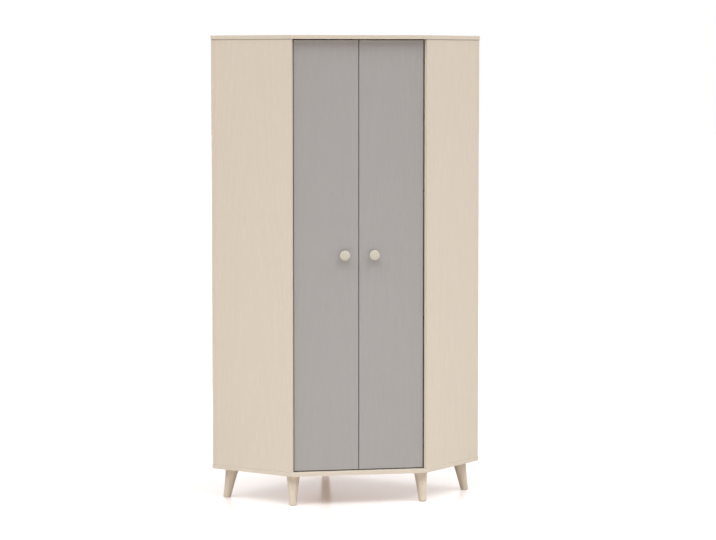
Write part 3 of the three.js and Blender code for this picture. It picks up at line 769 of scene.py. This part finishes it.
plastic = Finish("grey_plastic")
pebble = plastic.noise(plastic.place(), PEBBLES, detail=3.0)
plastic.wear(Base_Color=plastic.blend(pebble, *PLASTIC_SHADES))
plastic.wear(Roughness=PLASTIC_ROUGHNESS + pebble * PEBBLE_ROUGHNESS)
plastic.bump(pebble, PEBBLE_DEPTH, PEBBLE_BUMP)
print("plastic:", plastic.material.name)

# %% [markdown]
# ## Pressed hinge parts
#
# The hinge solids have the right shape, but their edges are as sharp as a knife, and pressed steel never
# is. They could be modelled again with rounded edges. It is less work to copy each solid, join its loose
# facets into whole faces, and give it a narrow bevel, so that every edge draws a thin bright line. The copy
# stands for the solid, which stays below it for the physics.

# %% Soften the hinges, the brackets and the stops
WELD = 0.002 * MM  # distance at which two corners are one
FLAT_ENOUGH = math.radians(0.5)  # between facets that are one face
BEVEL_ANGLE = math.radians(38)
BEVEL_STEPS = 2


def softened(node, radius, finish):
    mesh = frame["nodes"][node].data.copy()
    shape = bmesh.new()
    shape.from_mesh(mesh)
    bmesh.ops.remove_doubles(shape, verts=shape.verts, dist=WELD)
    bmesh.ops.dissolve_limit(shape, angle_limit=FLAT_ENOUGH, verts=shape.verts, edges=shape.edges)
    shape.to_mesh(mesh)
    shape.free()
    smooth(mesh)
    piece = put_in(node + "_pressed", mesh)
    bevel = piece.modifiers.new("edges", "BEVEL")
    bevel.width = radius
    bevel.segments = BEVEL_STEPS
    bevel.limit_method = "ANGLE"
    bevel.angle_limit = BEVEL_ANGLE
    bevel.use_clamp_overlap = True
    even = piece.modifiers.new("even", "WEIGHTED_NORMAL")
    even.keep_sharp = True
    paint(piece, finish)
    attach(piece, frame["nodes"][node]["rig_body"])
    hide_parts(node)


HINGE_PLACES = ["bottom", "lower", "upper", "top"]
HINGES = [(word, word + "_" + place + "_hinge_") for word in ["left", "right"] for place in HINGE_PLACES]
HINGE_PARTS = [  # the solids of a hinge, with the radius of their edges and what they are made of
    ("cup", 0.35 * MM, nickel, "nickel_plated_steel"),
    ("arm", 0.3 * MM, nickel, "nickel_plated_steel"),
    ("outer_link", 0.25 * MM, zinc, "zinc_plated_steel"),
    ("inner_link", 0.25 * MM, zinc, "zinc_plated_steel"),
]
BRACKET_EDGE = 0.8 * MM
STOP_EDGE = 1.2 * MM
for word, hinge in HINGES:
    for part, edge, plate, slot in HINGE_PARTS:
        softened(hinge + part, edge, plate)
for word in ["left", "right"]:
    softened(word + "_rail_bracket", BRACKET_EDGE, chrome)
for place in ["bottom", "top"]:
    softened(place + "_door_stop", STOP_EDGE, plastic)
print("hinges:", len(HINGES), "with", len(HINGE_PARTS), "parts each")

# %% [markdown]
# ## Hanging rail
#
# The rail is a chromed steel tube that hangs between two brackets. A plain bar would look the same from the
# front. It is drawn as a tube with a wall all the same, from four rings that close on themselves, because
# that is what a saw would show.

# %% Rail
RAIL_WALL = 1.5 * MM
RAIL_SIDES = 64
low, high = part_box("hanging_rail")
radius = (high.z - low.z) / 2
length = high.x - low.x
wall = [(radius, 0.0), (radius, length), (radius - RAIL_WALL, length), (radius - RAIL_WALL, 0.0)]
rail = stack("hanging_rail_tube", [circle(r, z, RAIL_SIDES) for r, z in wall], closed=True)
rail.data.transform(Matrix.Rotation(math.pi / 2, 4, "Y"))
rail.location = (low.x, (low.y + high.y) / 2, (low.z + high.z) / 2)
paint(rail, chrome)
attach(rail, "carcass")
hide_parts("hanging_rail")
print("rail length", round(length, 3))

# %% [markdown]
# ## Crosses in screw heads
#
# Every screw that can be seen has a low round head with a cross for the driver. The cross could be cut out
# with a boolean, which leaves thin faces behind. As a stack of rings it is clean: the last two rings are
# crosses with as many points as the circles, on the same rays, so the faces between them follow.

# %% Crosses
RAY_CROSS = (0.6, 0.2)  # arm length and half width of the cross whose rays all circles follow


def cross(radius, width, z):
    """The outline of a cross with 24 points, from the end of its first arm."""
    corners = []
    for quarter in range(4):
        turn = Matrix.Rotation(quarter * math.pi / 2, 2)
        for x, y in ((radius, -width), (radius, width), (width, width)):
            corners.append(turn @ Vector((x, y)))
    ring = []
    for a, b in zip(corners, corners[1:] + corners[:1]):
        ring += [(*a, z), (*a.lerp(b, 0.5), z)]
    return ring


def head_circle(radius, z):
    """A circle with its points on the same rays as the cross's."""
    ring = []
    for x, y, _ in cross(*RAY_CROSS, 0.0):
        ray = Vector((x, y)).normalized() * radius
        ring.append((ray.x, ray.y, z))
    return ring


print("points on a screw's rings:", len(head_circle(1.0, 0.0)))

# %% [markdown]
# ## Screws
#
# The screws are zinc plated and driven home, so only their heads show, and their threads are left out. Each
# could be an object of its own, but two screws that hold the same part never move apart. So one mesh is
# copied to each of their places, a little further turned every time, as no two crosses end up alike, and
# the copies make one piece.

# %% Screws
HEAD_SHARES = [(1.0, 0.0), (1.0, 0.35), (0.86, 0.8), (0.7, 1.0)]  # of a head's radius and height
CROSS_TOP_SHARES = (0.55, 0.14)  # of the head's radius: arm length and half width
CROSS_FLOOR_SHARES = (0.45, 0.09)
CROSS_FLOOR_HEIGHT_SHARE = 0.15
WOOD_SCREW = (4.0 * MM, 1.7 * MM, 1.9 * MM)  # radius of the head, its height, radius of the shank
CUP_SCREW_REACH = 9 * MM
FIRST_TURN = 0.3  # radians, of the first screw's cross
NEXT_TURN = 0.9  # how much further each next one is turned


def screw_rings(head, height, shank, reach):
    rings = [head_circle(shank, -reach), head_circle(shank, 0.0)]
    rings += [head_circle(head * out, height * up) for out, up in HEAD_SHARES]
    rings += [cross(*(head * share for share in CROSS_TOP_SHARES), height)]
    rings += [cross(*(head * share for share in CROSS_FLOOR_SHARES), height * CROSS_FLOOR_HEIGHT_SHARE)]
    return rings


def gathered(name, mesh, places, finish, body):
    """Equal small parts as one piece: a copy of the mesh at each place, given as a matrix."""
    whole = bmesh.new()
    for place in places:
        part = mesh.copy()
        part.transform(place)
        whole.from_mesh(part)
        bpy.data.meshes.remove(part)
    together = bpy.data.meshes.new(name)
    whole.to_mesh(together)
    whole.free()
    smooth(together)
    piece = put_in(name, together)
    paint(piece, finish)
    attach(piece, body)
    return piece


def facing(spot, direction):
    """The matrix that puts a part at a spot, with its +Z along the direction."""
    return Matrix.Translation(spot) @ Vector(direction).to_track_quat("Z", "Y").to_matrix().to_4x4()


def screws(name, body, spots, direction, reach=CUP_SCREW_REACH, sizes=WOOD_SCREW):
    """Equal screws at several spots, as one piece. Their heads look along direction."""
    screw = ring_mesh(name + "_one", screw_rings(*sizes, reach))
    turns = [Matrix.Rotation(NEXT_TURN * i + FIRST_TURN, 4, "Z") for i in range(len(spots))]
    places = [facing(spot, direction) @ turn for spot, turn in zip(spots, turns)]
    return gathered(name, screw, places, zinc, body)


print("rings of a screw:", len(screw_rings(*WOOD_SCREW, CUP_SCREW_REACH)))

# %% [markdown]
# ## Screws that hold the hinges
#
# A cup has two ears on the back of the door, with a wood screw through each. The arm ends in a plate on the
# end panel, which stands at 45 degrees to the doors, so the plate's screws point that way too. The places
# are worked out from the boxes of the solids, so the screws always sit in their holes.

# %% Hinge screws
EAR_SPACING = 48 * MM
EAR_FROM_EDGE = 31.5 * MM
EAR_HEIGHT = 1.4 * MM
PLATE_LENGTH = 36 * MM
PLATE_THICKNESS = 2.6 * MM
PLATE_SPACING = 32 * MM
PLATE_SCREW_REACH = 14 * MM
SLANT = math.sqrt(0.5)  # the share along x, or along y, of a way at 45 degrees
ENDS = (-1, 1)
for word, hinge in HINGES:
    side = -1 if word == "left" else 1
    low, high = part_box(hinge + "cup")
    middle = (low.z + high.z) / 2
    door_low, door_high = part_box(word + "_door")
    edge = door_high.x if side > 0 else door_low.x
    ear_x, ear_y = edge - side * EAR_FROM_EDGE, door_high.y + EAR_HEIGHT
    spots = [Vector((ear_x, ear_y, middle + end * EAR_SPACING / 2)) for end in ENDS]
    screws(hinge + "cup_screws", word + "_door", spots, (0, 1, 0))
    low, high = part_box(hinge + "arm")
    edge = high.x if side > 0 else low.x
    plate_x = edge - side * (PLATE_LENGTH / 2 + PLATE_THICKNESS) * SLANT
    plate_y = high.y - PLATE_LENGTH / 2 * SLANT
    spots = [Vector((plate_x, plate_y, middle + end * PLATE_SPACING / 2)) for end in ENDS]
    screws(hinge + "plate_screws", "carcass", spots, (-side, 1, 0), PLATE_SCREW_REACH)
print("hinge screws:", 4 * len(HINGES))

# %% [markdown]
# ## Screws of the rail, the stops and the knobs
#
# The rail hangs from two brackets, each screwed up into the hat shelf. The two blocks that stop the doors
# are screwed to the boards above and below. One long machine screw comes through each door from behind into
# its knob. It could keep the plain shape that its solid has, but the same rings give it a head with a cross.

# %% Other screws
BRACKET_FLANGE = 3 * MM
BRACKET_SPACING = 44 * MM
BRACKET_SCREW_REACH = 15 * MM
STOP_SPACING = 36 * MM
STOP_SCREW_REACH = 32 * MM
KNOB_GRIP = 14 * MM  # length of the screw inside the knob
KNOB_SCREW_SHANK = 2 * MM  # its radius
for word in ["left", "right"]:
    low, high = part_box(word + "_rail_bracket")
    centre = (low + high) / 2
    under = high.z - BRACKET_FLANGE
    spots = [Vector((centre.x, centre.y + end * BRACKET_SPACING / 2, under)) for end in ENDS]
    screws(word + "_bracket_screws", "carcass", spots, (0, 0, -1), BRACKET_SCREW_REACH)
    low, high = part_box(word + "_knob_screw")
    through = KNOB_GRIP + BOARD
    spot = Vector(((low.x + high.x) / 2, low.y + through, (low.z + high.z) / 2))
    sizes = ((high.x - low.x) / 2, high.y - spot.y, KNOB_SCREW_SHANK)
    fixed = screws(word + "_knob_machine_screw", word + "_door", [spot], (0, 1, 0), through, sizes)
    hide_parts(word + "_knob_screw")
for place, up in (("bottom", 1), ("top", -1)):
    low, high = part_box(place + "_door_stop")
    face = high.z if up > 0 else low.z
    spots = [Vector((end * STOP_SPACING / 2, (low.y + high.y) / 2, face)) for end in ENDS]
    screws(place + "_stop_screws", "carcass", spots, (0, 0, up), STOP_SCREW_REACH)

# %% [markdown]
# ## Leg bolts
#
# Each leg is held by a bolt from inside the wardrobe. Its low round head lies on the bottom board and has a
# socket for a hexagon key, because a key can be turned in a corner where a driver can't. The socket is made
# as the screws' crosses are, from a ring that has the shape of its mouth and another at its floor.

# %% Leg bolts
BOLT_POINTS = 24
BOLT_SHANK = 4 * MM  # its radius
BOLT_TIP = 0.8 * MM  # chamfer at the end of the shank
BOLT_HEAD_SHARES = [(1.0, 0.0), (1.0, 0.5), (0.9, 0.85), (0.7, 1.0)]  # of the head's radius and height
SOCKET_RADIUS = 3.4 * MM
SOCKET_DEPTH = 1.7 * MM


def hexagon(radius, z):
    """A hexagon with its points on the rays of a circle, some of them between its corners."""
    ring = []
    for i in range(BOLT_POINTS):
        angle = 2 * math.pi * i / BOLT_POINTS
        reach = radius * math.cos(math.pi / 6) / math.cos((angle % (math.pi / 3)) - math.pi / 6)
        ring.append((reach * math.cos(angle), reach * math.sin(angle), z))
    return ring


for name in LEG_NAMES:
    low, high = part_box(name + "_leg_bolt")
    head = (high.x - low.x) / 2
    board = BOARD + LEG_HEIGHT
    tall = high.z - board
    steps = [(BOLT_SHANK - BOLT_TIP, low.z), (BOLT_SHANK, low.z + BOLT_TIP), (BOLT_SHANK, board)]
    steps += [(head * out, board + tall * up) for out, up in BOLT_HEAD_SHARES]
    rings = [circle(radius, z, BOLT_POINTS) for radius, z in steps]
    rings += [hexagon(SOCKET_RADIUS, high.z), hexagon(SOCKET_RADIUS, high.z - SOCKET_DEPTH)]
    bolt = stack(name + "_socket_bolt", rings)
    bolt.location = ((low.x + high.x) / 2, (low.y + high.y) / 2, 0.0)
    paint(bolt, zinc)
    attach(bolt, "carcass")
    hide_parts(name + "_leg_bolt")
print("bolt heads stand", round(tall / MM, 2), "mm proud of the bottom board")

# %% [markdown]
# ## Shapes of cams and shelf pegs
#
# Such boards come flat and are pulled together by cams, round steel locks let into the inner faces close to
# each joint. Only their faces show, each with a cross. The hat shelf rests on steel pegs pushed into the
# panels. Both could be plain cylinders, but the same rings give them their crosses and chamfers.

# %% Shapes of a cam and a peg
CAM_RADIUS = 7.5 * MM
CAM_PROUD = 0.4 * MM
CAM_BURIED = 6 * MM
CAM_FACE_SHARE = 0.93  # of the cam's radius, and so are the next two: arm length and half width
CAM_CROSS_SHARES = (0.62, 0.14)
CAM_CROSS_FLOOR_SHARES = (0.55, 0.1)
CAM_CROSS_DEPTH = 2 * MM
PEG_RADIUS = 3.5 * MM
PEG_LENGTH = 11 * MM
PEG_BURIED = 8 * MM
PEG_CHAMFER = 1 * MM
PEG_SIDES = 24

cam_rings = [head_circle(CAM_RADIUS, -CAM_BURIED), head_circle(CAM_RADIUS, 0.0)]
cam_rings += [head_circle(CAM_RADIUS * CAM_FACE_SHARE, CAM_PROUD)]
cam_rings += [cross(*(CAM_RADIUS * share for share in CAM_CROSS_SHARES), CAM_PROUD)]
cam_rings += [cross(*(CAM_RADIUS * share for share in CAM_CROSS_FLOOR_SHARES), -CAM_CROSS_DEPTH)]
cam = ring_mesh("cam_one", cam_rings)
peg_steps = [(PEG_RADIUS, -PEG_BURIED), (PEG_RADIUS, PEG_LENGTH - PEG_CHAMFER)]
peg_steps += [(PEG_RADIUS - PEG_CHAMFER, PEG_LENGTH)]
peg = ring_mesh("peg_one", [circle(radius, z, PEG_SIDES) for radius, z in peg_steps])
print("faces of a cam and a peg:", len(cam.polygons), len(peg.polygons))

# %% [markdown]
# ## Cams and pegs in their places
#
# A slanted panel has its cams in pairs, one at the joint above and one at the joint below, with a peg
# between them under the hat shelf. Their places could be typed in. Worked out from shares of a panel's
# length, they follow its box. All cams of a panel make one piece, and so do its pegs.

# %% Cams and pegs in their places
PANEL_SHARES = {"end_panel": (0.15, 0.75), "back_panel": (0.12, 0.5, 0.88)}  # of a panel's length
CAM_FROM_END = 34 * MM
PEG_GAP = 0.02 * MM  # between a peg and the shelf on it


def inner_face(board, share):
    """A point on a slanted panel's inner face, by its share of the panel's length, and the way it looks."""
    low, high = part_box(board)
    side = 1 if low.x + high.x > 0 else -1
    rearwards = 1 if "end" in board else -1
    outward = Vector((side, rearwards, 0.0)) * SLANT
    inward = Vector((-side, rearwards, 0.0)) * SLANT
    centre = (low + high) / 2 + inward * (BOARD / 2)
    length = (high.x - low.x) / SLANT - BOARD
    return centre + outward * (share - 0.5) * length, inward


shelf_low, shelf_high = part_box("hat_shelf")
peg_height = shelf_low.z - PEG_RADIUS - PEG_GAP
for panel, shares in PANEL_SHARES.items():
    for word in ["left", "right"]:
        board = word + "_" + panel
        low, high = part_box(board)
        cams, pegs = [], []
        for share in shares:
            point, inward = inner_face(board, share)
            for height in (low.z + CAM_FROM_END, high.z - CAM_FROM_END):
                cams.append(facing((point.x, point.y, height), inward))
            pegs.append(facing((point.x, point.y, peg_height), inward))
        gathered(board + "_cams", cam, cams, zinc, "carcass")
        gathered(board + "_shelf_pegs", peg, pegs, nickel, "carcass")
places = 2 * sum(len(shares) for shares in PANEL_SHARES.values())
print("cams:", 2 * places, "shelf pegs:", places)

# %% [markdown]
# ## Floor
#
# The picture is a plain studio one, white all round. Its floor is a pale, half polished board: at this low
# angle it mirrors the white wall behind, and the rear leg in front of that wall. To the camera, in mirrors
# and through glass it glows a little, as an overexposed floor does, which keeps its shadow light. To the
# light that it throws back it is darker and warmer, or the wardrobe would be lit too much from below.

# %% Floor
FLOOR_RADIUS = 60.0
FLOOR_THICKNESS = 0.02
FLOOR_SIDES = 96
FLOOR_SEEN = (0.98, 0.99, 1.0)
FLOOR_FELT = (0.66, 0.57, 0.52)
FLOOR_GLOW = (0.19, 0.14, 0.125)
FLOOR_SPECULAR = 0.36
FLOOR_ROUGHNESS = 0.2
FLOOR_CLOUDS = 1.5  # per metre
FLOOR_CLOUDINESS = 0.04  # of the roughness
BLACK = (0.0, 0.0, 0.0)


def seen_rays(nodes):
    """One for the rays that show a thing: to the camera, in a mirror or through glass."""
    path = nodes.node("ShaderNodeLightPath", {}, {}, "Is Camera Ray")
    shown = path.math("MAXIMUM", path, path.beside("Is Glossy Ray"))
    return shown.math("MAXIMUM", shown, path.beside("Is Transmission Ray"))


floor = stack("floor", [circle(FLOOR_RADIUS, z, FLOOR_SIDES) for z in (-FLOOR_THICKNESS, 0.0)])
floor_finish = Finish("studio_floor")
seen = seen_rays(floor_finish)
floor_clouds = floor_finish.noise(floor_finish.place(), FLOOR_CLOUDS)
floor_finish.wear(Base_Color=floor_finish.blend(seen, FLOOR_FELT, FLOOR_SEEN))
floor_finish.wear(Roughness=FLOOR_ROUGHNESS + floor_clouds.centred() * FLOOR_CLOUDINESS)
floor_finish.wear(Emission_Color=floor_finish.blend(seen, BLACK, FLOOR_GLOW))
floor_finish.wear(Emission_Strength=1.0, Specular_IOR_Level=FLOOR_SPECULAR)
paint(floor, floor_finish)
print("floor radius", FLOOR_RADIUS, "m")

# %% [markdown]
# ## Suns and sky
#
# The doors are shaded for a hand's breadth under the top board, though they stand back by only 25 mm, and
# the two end panels are about equally bright. So the light is soft, comes from high up, and is the same from
# the left and the right. One large lamp overhead would leave the upright faces dark. Five wide suns light
# them evenly, in front, at both diagonals and at both sides, and a weak white dome fills in the rest.

# %% Suns and sky
DOME = 0.21
FRONT_SUN = 0.44
DIAGONAL_SUN = 0.90
SIDE_SUN = 0.81
FRONT_HEIGHT = math.radians(62)
DIAGONAL_HEIGHT = math.radians(50)
SIDE_HEIGHT = math.radians(46)
SUN_WIDTH = math.radians(36)
WHITE = (1.0, 1.0, 1.0)

world = bpy.data.worlds.new("studio")
world.use_nodes = True
bpy.context.scene.world = world
sky = Nodes(world.node_tree)
background = world.node_tree.nodes["Background"]
sky.feed(background.inputs["Color"], WHITE)
sky.feed(background.inputs["Strength"], sky.mix(seen_rays(sky), DOME, 1.0))


def soft_sun(name, strength, height, turn):
    """A wide sun in front, turned about the wardrobe, to the right where the turn is positive."""
    data = bpy.data.lights.new(name, "SUN")
    data.energy = strength
    data.angle = SUN_WIDTH
    sun = put_in(name, data)
    sun.rotation_euler = (LEVEL - height, 0.0, turn)


soft_sun("front_sun", FRONT_SUN, FRONT_HEIGHT, 0.0)
for word, side in (("left", -1), ("right", 1)):
    soft_sun(word + "_diagonal_sun", DIAGONAL_SUN, DIAGONAL_HEIGHT, side * math.pi / 4)
    soft_sun(word + "_side_sun", SIDE_SUN, SIDE_HEIGHT, side * math.pi / 2)
print("dome", DOME, "suns", FRONT_SUN, DIAGONAL_SUN, SIDE_SUN)

# %% [markdown]
# ## Fill lamps
#
# A pale room throws light back under the wardrobe and onto the side that faces its corner. Walls could do
# that here too, but they would stand in other views. Two soft lamps that no camera sees take their place: a
# low one in front for the legs, and one behind that keeps the back panels from going dark.

# %% Fill lamps
LOW_FILL = 14.0
LOW_FILL_SIZE = (5.0, 0.5)
LOW_FILL_PLACE = (0.0, -3.2, 0.3)
BACK_FILL = 20.0
BACK_FILL_SIZE = (2.5, 2.0)
BACK_FILL_PLACE = (0.0, 3.8, 1.2)


def panel_lamp(name, strength, size, place, turn):
    """An upright lamp that no camera or mirror sees. Unturned it shines backwards, along +Y."""
    data = bpy.data.lights.new(name, "AREA")
    data.shape = "RECTANGLE"
    data.size, data.size_y = size
    data.energy = strength
    lamp = put_in(name, data)
    lamp.location = place
    lamp.rotation_euler = (LEVEL, 0.0, turn)
    lamp.visible_camera = False
    lamp.visible_glossy = False


panel_lamp("low_fill", LOW_FILL, LOW_FILL_SIZE, LOW_FILL_PLACE, 0.0)
panel_lamp("back_fill", BACK_FILL, BACK_FILL_SIZE, BACK_FILL_PLACE, math.pi)
bpy.context.scene.view_settings.view_transform = "Standard"
print("fill lamps:", LOW_FILL, "W in front,", BACK_FILL, "W behind")

# %% [markdown] ## Sizes The dressed wardrobe must stay in the box of its solids.
